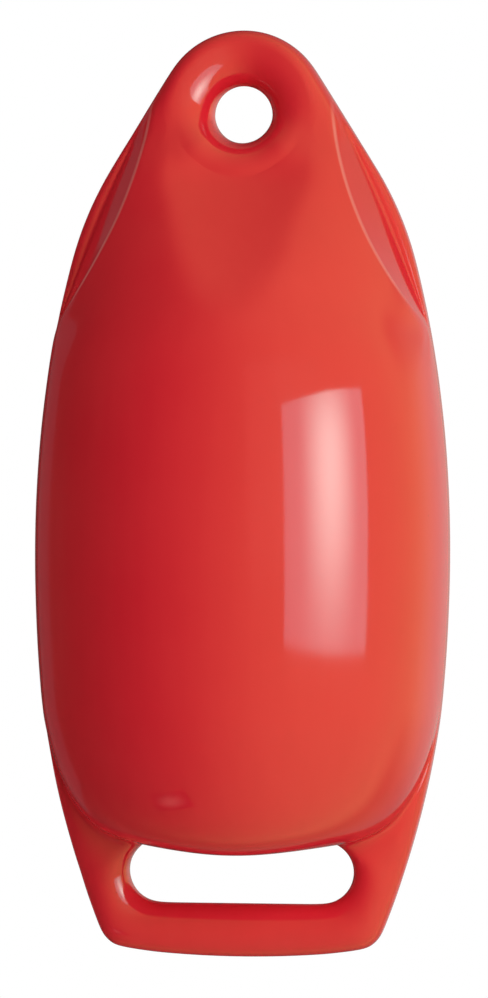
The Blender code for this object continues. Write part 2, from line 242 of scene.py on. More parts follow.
@dataclass(frozen=True)
class LoopSizes:
    """Posts and bar of the hand loop, and the slot between them."""

    thickness: float = 18.5
    rounding: float = 8.0
    edge_angle: float = math.radians(8.0)
    edge_curve: float = 350.0
    corner_radius: float = 12.0
    squareness: float = 0.75
    bow_radius: float = 370.0
    slot_end_radius: float = 11.8
    slot_half_width: float = 41.5
    bar_height: float = 19.6
    bar_spread: float = 1.25
    crease_min: float = 5.0
    crease_rounding: float = 0.75
    crease_power: float = 1.6
    root_rounding: float = 4.0


@dataclass(frozen=True)
class BuoyForm:
    """Rules that give the whole surface of the moulding from its sizes."""

    barrel: BarrelSizes = BarrelSizes()
    eye: EyeSizes = EyeSizes()
    front: FrontSizes = FrontSizes()
    scoop: ScoopSizes = ScoopSizes()
    loop: LoopSizes = LoopSizes()

    @property
    def eye_height(self) -> float:
        """Height of the eye's centre."""
        return self.barrel.length - self.eye.radius

    def shoulder_arc(self) -> tuple[Pair, float, float]:
        """Arc that joins the barrel's side and the straight flank.

        Returns:
            Its centre, and the heights at which it starts and ends.
        """
        sizes = self.barrel
        start_centre = (sizes.radius - sizes.upper_curve, sizes.height)
        normal = (math.cos(sizes.flank_angle), math.sin(sizes.flank_angle))
        inset = self.eye.radius - sizes.shoulder_curve
        start = (normal[0] * inset, self.eye_height + normal[1] * inset)
        offset = (start[0] - start_centre[0], start[1] - start_centre[1])
        slope = offset[0] * -normal[1] + offset[1] * normal[0]
        reach = sizes.upper_curve - sizes.shoulder_curve
        root = math.sqrt(max(0.0, slope**2 - offset[0] ** 2 - offset[1] ** 2 + reach**2))
        travel = -root - slope
        centre = (start[0] - normal[1] * travel, start[1] + normal[0] * travel)
        top = centre[1] + sizes.shoulder_curve * normal[1]
        ray = math.hypot(centre[0] - start_centre[0], centre[1] - start_centre[1])
        bottom = start_centre[1] + (centre[1] - start_centre[1]) / ray * sizes.upper_curve
        return centre, bottom, top

    def half_width(self, height: float) -> float:
        """Return the outline's half width above the kink, from the barrel to the eye.

        Args:
            height: Height above the lowest point.

        Returns:
            Distance from the centre line to the outline.
        """
        sizes = self.barrel
        rise = height - self.eye_height
        if rise >= self.eye.radius * math.sin(sizes.flank_angle):
            return math.sqrt(max(0.0, self.eye.radius**2 - rise**2))
        centre, bottom, top = self.shoulder_arc()
        if height >= top:
            return (self.eye.radius - rise * math.sin(sizes.flank_angle)) / math.cos(sizes.flank_angle)
        if height >= bottom:
            return centre[0] + math.sqrt(sizes.shoulder_curve**2 - (height - centre[1]) ** 2)
        curve = sizes.upper_curve if height >= sizes.height else sizes.lower_curve
        return sizes.radius - curve + math.sqrt(curve**2 - (height - sizes.height) ** 2)

    def post_centre(self) -> Pair:
        """Return the centre of the arc of the posts' outer edge.

        Returns:
            Its x and height.
        """
        start = self.half_width(self.barrel.kink_height)
        curve, angle = self.loop.edge_curve, self.loop.edge_angle
        return (start - curve * math.cos(angle), self.barrel.kink_height + curve * math.sin(angle))

    def post_half_width(self, height: float) -> float:
        """Return the half width of the posts' outer edge, below the kink."""
        centre = self.post_centre()
        return centre[0] + math.sqrt(self.loop.edge_curve**2 - (centre[1] - height) ** 2)

    def body_depth(self, height: float) -> float:
        """Return the front's depth on the centre line, before the tongue is cut.

        Args:
            height: Height above the lowest point.

        Returns:
            Depth from the mould's parting plane.
        """
        sizes = self.front
        lean = (sizes.taper_top - height) * math.tan(sizes.taper_angle)
        depth = self.eye.thickness / 2.0 + soft_max(0.0, lean, sizes.neck_blend)
        return soft_min(self.half_width(height), depth, sizes.taper_blend)

    def body_surface(self, x: float, height: float) -> float:
        """Depth of the body's section: round below, a wedge above it, squarer at the eye.

        Args:
            x: Distance from the centre line.
            height: Height above the lowest point.

        Returns:
            Depth from the mould's parting plane.
        """
        sizes = self.front
        flat = self.eye.crest_radius * smooth_step(sizes.square_start, self.eye_height, height)
        power = sizes.round_power - sizes.wedge_drop * smooth_step(*sizes.wedge_span, height)
        power += sizes.square_gain * smooth_step(*sizes.square_span, height)
        reach = min(1.0, max(0.0, (x - flat) / (self.half_width(height) - flat)))
        return self.body_depth(height) * (1.0 - reach**power) ** (1.0 / power)

    def tongue_surface(self, x: float, height: float) -> float:
        """Return the depth of the nearly flat tongue below the eye.

        Args:
            x: Distance from the centre line.
            height: Height above the lowest point.

        Returns:
            Depth from the mould's parting plane.
        """
        sizes = self.front
        slope = (sizes.tongue_height - height) * math.tan(sizes.tongue_angle)
        floor = soft_max(self.eye.lower_crest, sizes.tongue_depth + slope, sizes.shelf_blend)
        return floor + sizes.tongue_dish * (x / sizes.tongue_half_width) ** 2

    def front_surface(self, x: float, height: float) -> float:
        """Return the depth of the front with its tongue.

        Args:
            x: Distance from the centre line.
            height: Height above the lowest point.

        Returns:
            Depth from the mould's parting plane.
        """
        body = self.body_surface(x, height)
        if height < self.scoop.round_top or body < self.eye.thickness / 2.0:
            return body
        return soft_min(body, self.tongue_surface(x, height), self.front.tongue_edge)

    def ridge(self, height: float) -> float:
        """Return the half width of the edge between the front and a side scoop.

        Args:
            height: Height above the lowest point.

        Returns:
            Distance from the centre line to the ridge.
        """
        sizes = self.scoop
        drop = max(0.0, sizes.ridge_top - height)
        arc = sizes.ridge_curve - math.sqrt(max(0.0, sizes.ridge_curve**2 - drop**2))
        return min(sizes.ridge_half_width + arc, self.half_width(height) - sizes.ridge_margin)

    def fin_edge(self, height: float) -> Pair:
        """Return the width of the fin's round edge, and the half width at the wall's foot.

        Args:
            height: Height above the lowest point.

        Returns:
            Both widths.
        """
        width = self.half_width(height)
        foot = mix(self.ridge(height), width, self.scoop.wall_share)
        return min(self.scoop.fin_rounding, (width - foot) * self.scoop.fin_edge_share), foot

    def surface(self, x: float, height: float) -> float:
        """Depth of the front, the scoop's wall or the fin at a point.

        Args:
            x: Distance from the centre line.
            height: Height above the lowest point.

        Returns:
            Depth from the mould's parting plane.
        """
        front = self.front_surface(x, height)
        ridge = self.ridge(height)
        if x <= ridge:
            return front
        edge, foot = self.fin_edge(height)
        fade = smooth_step(self.scoop.fade_start, self.scoop.fade_end, height)
        floor = mix(self.scoop.fin_thickness, self.eye.thickness, fade) / 2.0
        fin = floor * rounded(self.half_width(height) - x, edge, self.scoop.edge_power)
        if x >= foot:
            return min(front, fin)
        top = self.front_surface(ridge, height)
        share = soft_max(0.0, (foot - x) / (foot - ridge), self.scoop.wall_blend)
        return min(front, mix(min(fin, top), top, min(1.0, share)))


class Side(Enum):
    """Vertical planes that halve the buoy."""

    SIDES = (-1.0, 1.0, 1.0)
    FACES = (1.0, -1.0, 1.0)


@dataclass
class QuarterCage:
    """Cage of quads for the quarter of the buoy with x >= 0 on the front's side.

    Each of the bell rows holds its heights at the outline, at the ring's crest and on
    the centre line. Places along the hand loop run from 0 at a post's root to the
    middle of the bar. Slot turns and corner turns are a first angle and a step.
    """

    form: BuoyForm
    barrel_angles: tuple = (0.0, 1.8, 3.6, 5.4, 7.2, 17.5, 28.5, 40.0, 52.0, 64.5, 77.2, 90.0)
    bell_rows: tuple = (
        (292.0, 294.5, 280.5),
        (282.0, 283.0, 273.5),
        (271.0, 271.5, 265.5),
        (260.0, 260.0, 256.5),
        (249.5, 249.0, 247.0),
        (240.0, 239.5, 238.5),
        (232.0, 232.0, 231.5),
        (224.0, 224.0, 224.0),
        (210.0, 210.0, 210.0),
        (185.0, 185.0, 185.0),
        (150.0, 150.0, 150.0),
        (118.0, 118.0, 118.0),
        (99.0, 99.0, 99.0),
        (89.0, 89.0, 89.0),
    )
    rim_columns: int = 16
    crease_column: int = 8
    ridge_column: int = 10
    tongue_columns: int = 6
    bowl_columns: int = 10
    corner_steps: int = 10
    floor_steps: int = 8
    loop_columns: int = 12
    loop_steps: int = 16
    neck_angle: float = -16.0
    neck_height: float = 300.0
    neck_slope: float = 0.2
    ring_step: float = 9.0
    scoop_angle: float = 20.0
    edge_column: float = 0.3
    ridge_span: Pair = (285.0, 310.0)
    ridge_spread: Pair = (0.5, 0.6)
    wall_softness: float = 0.8
    least_softness: float = 0.1
    crest_gap: float = 3.0
    crease_softness: float = 5.0
    crease_rounds: int = 4
    head_place: Point = (38.5, 0.0, 302.5)
    head_softness: float = 6.0
    head_rounds: int = 4
    plane_margin: float = 0.01
    softening: float = 0.5
    edge_heights: Pair = (35.0, 27.5)
    root_steps: int = 4
    slot_turns: Pair = (80.0, 40.0)
    corner_turns: Pair = (36.0, 34.0)
    foot_place: float = 2.0
    corner_place: float = 3.0
    bar_place: float = 4.0
    middle_place: float = 8.0

    def __post_init__(self) -> None:
        """Work out the finer columns and the places that every row needs."""
        self.angles = [math.radians(angle) for angle in refined(list(self.barrel_angles))]
        self.loop_corner = self.loop_corner_centre()

    def scoop_columns(self, height: float) -> list[float]:
        """Return a row's half widths where it crosses the fin, the scoop and the front.

        Args:
            height: Height above the lowest point.

        Returns:
            Half widths from the outline inwards.
        """
        form = self.form
        width = form.half_width(height)
        ridge = form.ridge(height)
        edge, foot = form.fin_edge(height)
        softness = mix(form.scoop.crisp_ridge, form.scoop.soft_ridge, smooth_step(*self.ridge_span, height))
        softness = min(softness, (foot - ridge) * self.wall_softness + self.least_softness)
        past = ridge - 2.0 * softness
        crest = min(form.eye.crest_radius, past - self.crest_gap)
        outer = [width, width - edge * self.edge_column, width - edge, foot, mix(foot, ridge, 0.5)]
        fine = refined([*outer, ridge, past, mix(past, crest, 0.5), crest])
        fine[self.ridge_column - 1] = ridge + softness * self.ridge_spread[0]
        fine[self.ridge_column + 1] = ridge - softness * self.ridge_spread[1]
        return fine

    def bell_point(self, column: int, height: float, tongue_x: float | None = None) -> Point:
        """Cage point of a row that crosses the barrel, the taper or the tongue.

        Args:
            column: Column of the row, 0 at the outline.
            height: Height above the lowest point.
            tongue_x: Distance from the centre line, for the tongue's columns.

        Returns:
            Point as x, depth and height.
        """
        form = self.form
        angle = self.angles[column]
        before = angle - self.angles[max(0, column - 1)]
        after = self.angles[min(len(self.angles) - 1, column + 1)] - angle
        share = smooth_step(form.scoop.round_top, form.scoop.bottom, height)
        growth = 1.0 if column < self.ridge_column else mix(swell(max(before, after)), 1.0, share)
        x = form.half_width(height) * math.cos(angle)
        if share > 0.0:
            x = mix(x, self.scoop_columns(height)[column] if tongue_x is None else tongue_x, share)
        if column == len(self.angles) - 1:
            x = 0.0
        depth = form.front_surface(x, height)
        if column < self.ridge_column:
            depth = mix(form.half_width(height) * math.sin(angle), form.surface(x, height), share)
        return (x * growth, depth * growth, height)

    def crest_point(self, angle: float) -> Pair:
        """Return x and height of the ring's crest at an angle round the hole.

        Args:
            angle: Degrees above the hole's level.

        Returns:
            The crest's x and height.
        """
        turn = math.radians(angle)
        radius = self.form.eye.crest_radius
        across = 0.0 if abs(angle) == RIGHT_ANGLE else math.cos(turn)
        return (radius * across, self.form.eye_height + radius * math.sin(turn))

    def rim_point(self, angle: float, share: float) -> Point:
        """Point of the ring's outer side, from its outline to its crest.

        Args:
            angle: Degrees above the hole's level.
            share: 0 at the outline, 1 at the crest.

        Returns:
            Point as x, depth and height.
        """
        form = self.form
        turn = math.radians(angle)
        over = turn - form.barrel.flank_angle
        outer = form.eye.radius if over >= 0.0 else form.eye.radius / math.cos(over)
        power = 2.0 / form.eye.rim_power
        along = math.sin(share * math.pi / 2.0) ** power
        inward = 1.0 - math.cos(share * math.pi / 2.0) ** power
        crest = form.body_depth(self.crest_point(angle)[1])
        radius = mix(outer, form.eye.crest_radius, inward)
        return (radius * math.cos(turn), crest * along, form.eye_height + radius * math.sin(turn))

    def neck_line(self, angle: float) -> list[Point]:
        """Row from the outline to the ring's crest, beside and above the hole.

        Args:
            angle: Degrees above the hole's level.

        Returns:
            Points of the row.
        """
        form = self.form
        columns = range(self.rim_columns + 1)
        points = [self.rim_point(angle, column / self.rim_columns) for column in columns]
        scooped = smooth_step(self.scoop_angle, self.neck_angle, angle)
        if scooped == 0.0:
            return points
        lowest = self.neck_height + self.neck_slope * (angle - self.neck_angle)
        outer_height = mix(points[0][2], lowest, scooped)
        widths = self.scoop_columns(outer_height)
        inner = self.crest_point(angle)
        line = []
        for column, plain in enumerate(points):
            share = (widths[0] - widths[column]) / (widths[0] - widths[-1])
            x, height = mix_points((widths[0], outer_height), inner, share)
            line.append(mix_points(plain, (x, form.surface(x, height), height), scooped))
        return line

    def bowl_row(self, crest: Point) -> list[Point]:
        """Row from the ring's crest down its inner side to the middle of the hole.

        Args:
            crest: Point of the crest.

        Returns:
            Points of the row, the last one on the parting plane.
        """
        eye = self.form.eye
        rise = crest[2] - self.form.eye_height
        power = 2.0 / eye.bowl_power
        row = []
        for step in range(self.bowl_columns + 1):
            turn = step / self.bowl_columns * math.pi / 2.0
            radius = mix(eye.crest_radius, eye.hole_radius, math.sin(turn) ** power)
            depth = 0.0 if step == self.bowl_columns else crest[1] * math.cos(turn) ** power
            share = radius / eye.crest_radius
            row.append((crest[0] * share, depth, self.form.eye_height + rise * share))
        return row

    def corner_point(self, share: float) -> Pair:
        """Return radius and height of the barrel's lower corner, from its side to its floor.

        Args:
            share: 0 at the side, 1 at the floor.

        Returns:
            Radius and height.
        """
        sizes = self.form.barrel
        start = (self.form.half_width(sizes.kink_height), sizes.kink_height)
        corner = (sizes.corner_radius_point, sizes.floor_height)
        end = (sizes.floor_radius, sizes.floor_height)
        return mix_points(mix_points(start, corner, share), mix_points(corner, end, share), share)

    def corner_row(self, index: int) -> list[Point]:
        """Row from a post's outer edge over the crease and round the barrel.

        Args:
            index: Row of the corner, 0 at the kink.

        Returns:
            Points of the row.
        """
        form = self.form
        share = index / self.corner_steps
        radius, height = self.corner_point(share)
        outer_height = mix(form.barrel.kink_height, self.edge_heights[0], share)
        outer = form.post_half_width(outer_height)
        proud = max(0.0, form.post_half_width(height) - radius)
        post = form.loop.thickness / 2.0 * rounded(proud, form.loop.rounding, form.scoop.edge_power)
        crease = max(form.loop.crease_min, post)
        points = []
        for column in range(self.crease_column + 1):
            along = column / self.crease_column
            inward = along * along
            x = mix(outer, math.sqrt(radius**2 - crease**2), inward)
            depth = crease * rounded(along, form.loop.crease_rounding, form.loop.crease_power)
            points.append((x, depth, mix(outer_height, height, inward)))
        last = len(self.angles) - 1
        start = math.asin(crease / radius)
        step = (math.pi / 2.0 - start) / (last - self.crease_column)
        reach = radius * swell(step)
        crown = form.barrel.floor_crown * share * share
        for column in range(self.crease_column + 1, last):
            angle = start + step * (column - self.crease_column)
            lower = height - crown * math.sin(angle) ** form.barrel.crown_power
            points.append((reach * math.cos(angle), reach * math.sin(angle), lower))
        points.append((0.0, reach, height - crown))
        return points

    def slot_point(self, angle: float) -> Pair:
        """Return a point of the hand slot's round end.

        Args:
            angle: Degrees above the middle of the end.

        Returns:
            Its x and height.
        """
        loop = self.form.loop
        turn = math.radians(angle)
        x = loop.slot_half_width - loop.slot_end_radius + loop.slot_end_radius * math.cos(turn)
        return (x, loop.bar_height + loop.slot_end_radius * (1.0 + math.sin(turn)))

    def loop_corner_centre(self) -> Pair:
        """Return the centre of the arc that joins a post's outer edge and the bar's bow.

        Returns:
            Its x and height.
        """
        loop = self.form.loop
        post, bow = self.form.post_centre(), (0.0, loop.bow_radius)
        reach_a = loop.edge_curve - loop.corner_radius
        reach_b = loop.bow_radius - loop.corner_radius
        dx, dz = bow[0] - post[0], bow[1] - post[1]
        gap = math.hypot(dx, dz)
        along = (reach_a**2 - reach_b**2 + gap**2) / (2.0 * gap)
        across = math.sqrt(max(0.0, reach_a**2 - along**2))
        foot = (post[0] + dx / gap * along, post[1] + dz / gap * along)
        ends = [
            (foot[0] - dz / gap * across, foot[1] + dx / gap * across),
            (foot[0] + dz / gap * across, foot[1] - dx / gap * across),
        ]
        return max(ends)

    def loop_end(self, place: float) -> tuple[Pair, Pair]:
        """Ends of one section of the hand loop, seen from the front.

        Args:
            place: Place along the loop, from a post's root to the middle of the bar.

        Returns:
            Point of the outer edge and point of the slot.
        """
        form, loop = self.form, self.form.loop
        end = loop.slot_half_width - loop.slot_end_radius
        if place <= self.bar_place:
            inner = self.slot_point(self.slot_turns[0] - self.slot_turns[1] * place)
        else:
            inner = (end * (2.0 - place / self.bar_place), loop.bar_height)
        if place <= self.foot_place:
            height = mix(self.edge_heights[0], self.edge_heights[1], place)
            outer = (form.post_half_width(height), height)
        elif place <= self.bar_place:
            past = place - self.corner_place
            turn = math.radians(self.corner_turns[0] + self.corner_turns[1] * past)
            x = self.loop_corner[0] + loop.corner_radius * math.cos(turn)
            outer = (x, self.loop_corner[1] - loop.corner_radius * math.sin(turn))
        else:
            x = inner[0] * loop.bar_spread
            outer = (x, loop.bow_radius - math.sqrt(loop.bow_radius**2 - x**2))
        return outer, inner

    def loop_row(self, place: float) -> list[Point]:
        """Return the row round one section of the posts or the bar, outer edge to slot.

        Args:
            place: Place along the loop.

        Returns:
            Points of the row.
        """
        outer, inner = self.loop_end(place)
        row = []
        for step in range(self.loop_columns + 1):
            turn = step * math.pi / self.loop_columns
            x, height = mix_points(outer, inner, (1.0 - math.cos(turn)) / 2.0)
            depth = self.form.loop.thickness / 2.0 * abs(math.sin(turn)) ** self.form.loop.squareness
            row.append((x, 0.0 if step in (0, self.loop_columns) else depth, height))
        return row

    def floor_patch(self, rim: list[Point]) -> list[list[Point]]:
        """Grid that closes the barrel's floor between the posts.

        Args:
            rim: Points from a post's root round to the centre line.

        Returns:
            Rows of points, from the parting plane to the front.
        """
        across = len(rim) - 1 - self.floor_steps
        side, far = rim[: self.floor_steps + 1], rim[self.floor_steps :]
        centre = (0.0, 0.0, self.form.barrel.floor_height)
        patch = []
        for row in range(self.floor_steps + 1):
            v = row / self.floor_steps
            line = []
            for column in range(across + 1):
                u = column / across
                along = mix_points(mix_points(centre, side[0], u), far[across - column], v)
                over = mix_points(mix_points(centre, far[-1], v), side[row], u)
                flat = mix_points(mix_points(centre, side[0], u), mix_points(far[-1], far[0], u), v)
                line.append(tuple(a + b - both for a, b, both in zip(along, over, flat)))
            patch.append(line)
        return patch

    def bell_grids(self, arc: list[Point], crest_height: float) -> tuple[list, list]:
        """Rows of the barrel and taper: the outer columns and the tongue's columns.

        Args:
            arc: Crest's arc below the hole.
            crest_height: Height at which the arc starts.

        Returns:
            Rows of the outer columns and rows of the tongue's columns.
        """
        neck = (self.neck_height, crest_height, arc[-1][2])
        rows = [neck, *self.bell_rows]
        outer_rows, inner_rows = [], []
        for index in range(1, 2 * (len(rows) - 1)):
            before, after = rows[index // 2], rows[(index + 1) // 2]
            outline, crest, middle = mix_points(before, after, 0.5)
            row = []
            for column in range(self.rim_columns + 1):
                row.append(self.bell_point(column, mix(outline, crest, column / self.rim_columns)))
            outer_rows.append(row)
            inner = [row[-1]]
            for step in range(1, self.tongue_columns + 1):
                share = step / self.tongue_columns
                height = mix(crest, middle, share)
                across = self.scoop_columns(crest)[-1] * (1.0 - share)
                if index == 1:
                    across = mix(across, arc[step][0], 0.5)
                    height = mix(self.bell_rows[0][1], self.bell_rows[0][2], share)
                    height = mix(height, arc[step][2], 0.5)
                inner.append(self.bell_point(self.rim_columns + step, height, across))
            inner_rows.append(inner)
        return outer_rows, inner_rows

    def eye_rows(self) -> tuple[list[list[Point]], list[Point]]:
        """Work out the rows over the eye's ring.

        Returns:
            Rows from the outline to the crest, and the crest's arc below the hole.
        """
        count = int(RIGHT_ANGLE / self.ring_step) + 1
        angles = [RIGHT_ANGLE - self.ring_step * step for step in range(count)]
        angles += [self.neck_angle / 2.0, self.neck_angle]
        rows = [self.neck_line(angle) for angle in angles]
        rows[0] = [(0.0, depth, height) for _, depth, height in rows[0]]
        arc = [rows[-1][-1]]
        for step in range(1, self.tongue_columns + 1):
            angle = mix(self.neck_angle, -RIGHT_ANGLE, step / self.tongue_columns)
            x, height = self.crest_point(angle)
            arc.append((x, self.form.front_surface(x, height), height))
        return rows, arc

    def root_bend(self, crease: Point) -> list[Point]:
        """Work out the rounded step under the barrel's foot.

        Args:
            crease: Point where the post meets the barrel's floor.

        Returns:
            Points from the crease to the parting plane, without the crease itself.
        """
        bend = []
        for step in range(1, self.root_steps + 1):
            turn = step * math.pi / 2.0 / self.root_steps
            depth = 0.0 if step == self.root_steps else crease[1] * math.cos(turn)
            bend.append((crease[0] - self.form.loop.root_rounding * math.sin(turn), depth, crease[2]))
        return bend

    def build(self) -> bpy.types.Mesh:
        """Make the quarter in metres, with the eye's centre as its origin.

        Returns:
            The mesh, open at both mirror planes.
        """
        rim_rows, arc = self.eye_rows()
        bell_outer, bell_inner = self.bell_grids(arc, arc[0][2])
        outer_rows, inner_rows = rim_rows + bell_outer, [arc] + bell_inner
        for index in range(self.corner_steps + 1):
            row = self.corner_row(index)
            outer_rows.append(row[: self.rim_columns + 1])
            inner_rows.append(row[self.rim_columns :])
        last = outer_rows[-1]
        bend = self.root_bend(last[self.crease_column])
        places = [step * self.middle_place / self.loop_steps for step in range(1, self.loop_steps + 1)]
        loop_rows = [last[: self.crease_column + 1] + bend] + [self.loop_row(place) for place in places]
        rim = bend[::-1] + last[self.crease_column :] + inner_rows[-1][1:]
        bowl_rows = [self.bowl_row(crest) for crest in [row[-1] for row in rim_rows[:-1]] + arc]
        mesh = bmesh.new()
        for rows in (outer_rows, inner_rows, bowl_rows, loop_rows, self.floor_patch(rim)):
            self.add_grid(mesh, rows)
        bmesh.ops.remove_doubles(mesh, verts=mesh.verts, dist=MERGE_DISTANCE)
        creases = [row[self.crease_column] for row in outer_rows[-self.corner_steps - 1 :]]
        self.soften(mesh, creases, self.crease_softness, self.crease_rounds)
        self.soften(mesh, [self.head_place], self.head_softness, self.head_rounds)
        bmesh.ops.recalc_face_normals(mesh, faces=mesh.faces)
        self.face_outwards(mesh)
        data = bpy.data.meshes.new("buoy_quarter")
        mesh.to_mesh(data)
        mesh.free()
        return data

    def add_grid(self, mesh: bmesh.types.BMesh, rows: list[list[Point]]) -> None:
        """Add a grid of points and its quads to the mesh.

        Args:
            mesh: Mesh of the quarter.
            rows: Rows of points, all of one length.
        """
        lift = self.form.eye_height
        corners = []
        for row in rows:
            corners.append([mesh.verts.new((x * MM, -y * MM, (z - lift) * MM)) for x, y, z in row])
        for upper, lower in zip(corners, corners[1:]):
            for column in range(len(upper) - 1):
                mesh.faces.new((upper[column], upper[column + 1], lower[column + 1], lower[column]))

    def soften(self, mesh: bmesh.types.BMesh, places: list[Point], reach: float, rounds: int) -> None:
        """Even out the cage near some places, away from the two mirror planes.

        Args:
            mesh: Mesh of the quarter.
            places: Points as x, depth and height; a depth of 0 takes every depth there.
            reach: Distance from a place within which points move.
            rounds: How often each point moves half way to its neighbours' mean.
        """
        lift = self.form.eye_height
        near = []
        for vert in mesh.verts:
            x, depth, height = vert.co.x / MM, -vert.co.y / MM, vert.co.z / MM + lift
            if min(x, depth) < self.plane_margin:
                continue
            for place in places:
                apart = depth - place[1] if place[1] else 0.0
                if math.hypot(x - place[0], apart, height - place[2]) < reach:
                    near.append(vert)
                    break
        axes = {"use_axis_x": True, "use_axis_y": True, "use_axis_z": True}
        for _ in range(rounds):
            bmesh.ops.smooth_vert(mesh, verts=near, factor=self.softening, **axes)

    def face_outwards(self, mesh: bmesh.types.BMesh) -> None:
        """Turn all faces over if the barrel's front faces the inside.

        Args:
            mesh: Mesh of the quarter.
        """
        mesh.faces.ensure_lookup_table()
        front = min(mesh.faces, key=lambda face: face.calc_center_median().y)
        if front.normal.y > 0.0:
            bmesh.ops.reverse_faces(mesh, faces=mesh.faces)


class NodePen:
    """Adds nodes to a tree and links them by name."""

    colour_mix_sockets = {"Factor": 0, "A": 6, "B": 7}

    def __init__(self, tree: bpy.types.NodeTree) -> None:
        """Keep the tree that the nodes go into."""
        self.tree = tree

    def add(self, kind: str, inputs: dict | None = None, **settings: object) -> bpy.types.Node:
        """Add one node.

        Args:
            kind: Type of the node.
            inputs: Values or sockets for its inputs, by name or by place.
            **settings: Properties of the node.

        Returns:
            The new node.
        """
        node = self.tree.nodes.new(kind)
        for name, value in settings.items():
            setattr(node, name, value)
        for name, value in (inputs or {}).items():
            if isinstance(value, bpy.types.NodeSocket):
                self.tree.links.new(value, node.inputs[name])
            else:
                node.inputs[name].default_value = value
        return node

    def maths(self, operation: str, *values: object) -> bpy.types.NodeSocket:
        """Return the result of a Math node over values or sockets."""
        node = self.add("ShaderNodeMath", dict(enumerate(values)), operation=operation)
        return node.outputs[0]

    def spread(
        self, value: object, start: float, end: float, low: float, high: float
    ) -> bpy.types.NodeSocket:
        """Return a value carried smoothly from one range to another."""
        inputs = {"Value": value, "From Min": start, "From Max": end, "To Min": low, "To Max": high}
        return self.add("ShaderNodeMapRange", inputs, interpolation_type="SMOOTHSTEP").outputs["Result"]

    def mixed(self, values: dict) -> bpy.types.NodeSocket:
        """Return the mixture of the colours A and B by Factor."""
        inputs = {self.colour_mix_sockets[name]: value for name, value in values.items()}
        return self.add("ShaderNodeMix", inputs, data_type="RGBA").outputs[2]


def empty_material(name: str) -> tuple[bpy.types.Material, NodePen]:
    """Make a material without nodes.

    Args:
        name: Name of the material.

    Returns:
        The material, and the pen of its tree.
    """
    material = bpy.data.materials.new(name)
    material.use_nodes = True
    material.node_tree.nodes.clear()
    return material, NodePen(material.node_tree)


@dataclass(frozen=True)
class MouldTree:
    """Geometry Nodes tree that makes the whole moulding from its quarter."""

    smoothing: int = 2
    merge_distance: float = MERGE_DISTANCE
    seam_height: float = 0.07 * MM
    seam_half_width: float = 0.7 * MM

    def build(self) -> bpy.types.NodeTree:
        """Return the tree, with a named input for each size.

        Returns:
            The tree, which ends in one real, dressed mesh.
        """
        tree = bpy.data.node_groups.new("moulding_from_quarter", "GeometryNodeTree")
        face = tree.interface
        face.new_socket("Geometry", in_out="INPUT", socket_type="NodeSocketGeometry")
        face.new_socket("Smoothing", in_out="INPUT", socket_type="NodeSocketInt")
        for name in ("Merge Distance", "Seam Height", "Seam Half Width"):
            face.new_socket(name, in_out="INPUT", socket_type="NodeSocketFloat")
        face.new_socket("Material", in_out="INPUT", socket_type="NodeSocketMaterial")
        face.new_socket("Geometry", in_out="OUTPUT", socket_type="NodeSocketGeometry")
        pen = NodePen(tree)
        given = pen.add("NodeGroupInput").outputs
        whole = given["Geometry"]
        for side in Side:
            whole = self.mirrored(pen, whole, side, given["Merge Distance"])
        smooth = pen.add("GeometryNodeSubdivisionSurface", {0: whole, "Level": given["Smoothing"]})
        place = pen.add("GeometryNodeInputPosition").outputs[0]
        depth = pen.maths("ABSOLUTE", pen.add("ShaderNodeSeparateXYZ", {0: place}).outputs["Y"])
        inputs = {"Value": depth, "From Min": given["Seam Half Width"], "From Max": 0.0}
        inputs |= {"To Min": 0.0, "To Max": given["Seam Height"]}
        height = pen.add("ShaderNodeMapRange", inputs, interpolation_type="SMOOTHSTEP").outputs["Result"]
        normal = pen.add("GeometryNodeInputNormal").outputs[0]
        offset = pen.add("ShaderNodeVectorMath", {0: normal, "Scale": height}, operation="SCALE")
        raised = pen.add("GeometryNodeSetPosition", {0: smooth.outputs[0], "Offset": offset.outputs[0]})
        shaded = pen.add("GeometryNodeSetShadeSmooth", {0: raised.outputs[0], "Shade Smooth": True})
        real = pen.add("GeometryNodeRealizeInstances", {0: shaded.outputs[0]})
        dressed = pen.add("GeometryNodeSetMaterial", {0: real.outputs[0], "Material": given["Material"]})
        pen.add("NodeGroupOutput", {0: dressed.outputs[0]})
        return tree

    def mirrored(
        self, pen: NodePen, whole: bpy.types.NodeSocket, side: Side, distance: bpy.types.NodeSocket
    ) -> bpy.types.NodeSocket:
        """Return the geometry joined to its mirror image and welded to it.

        Args:
            pen: Pen of the tree.
            whole: Geometry on one side of the plane.
            side: Plane of the mirror.
            distance: Distance within which points are welded.

        Returns:
            Geometry on both sides.
        """
        turned = pen.add("GeometryNodeTransform", {0: whole, "Scale": side.value})
        flipped = pen.add("GeometryNodeFlipFaces", {0: turned.outputs[0]})
        joined = pen.add("GeometryNodeJoinGeometry", {0: whole})
        pen.tree.links.new(flipped.outputs[0], joined.inputs[0])
        welded = pen.add("GeometryNodeMergeByDistance", {0: joined.outputs[0], "Distance": distance})
        return welded.outputs[0]

    def apply(self, piece: bpy.types.Object, material: bpy.types.Material) -> None:
        """Run the tree on a piece and keep the result as a plain mesh.

        Args:
            piece: Object that holds the quarter's mesh.
            material: Finish that the tree sets on every face.
        """
        tree = self.build()
        values = {
            "Smoothing": self.smoothing,
            "Merge Distance": self.merge_distance,
            "Seam Height": self.seam_height,
            "Seam Half Width": self.seam_half_width,
            "Material": material,
        }
        modifier = piece.modifiers.new("Moulding", "NODES")
        modifier.node_group = tree
        for item in tree.interface.items_tree:
            if item.in_out == "INPUT" and item.name in values:
                modifier[item.identifier] = values[item.name]
        graph = bpy.context.evaluated_depsgraph_get()
        mesh = bpy.data.meshes.new_from_object(piece.evaluated_get(graph), depsgraph=graph)
        piece.modifiers.remove(modifier)
        quarter = piece.data
        piece.data = mesh
        mesh.name = piece.name
        bpy.data.meshes.remove(quarter)


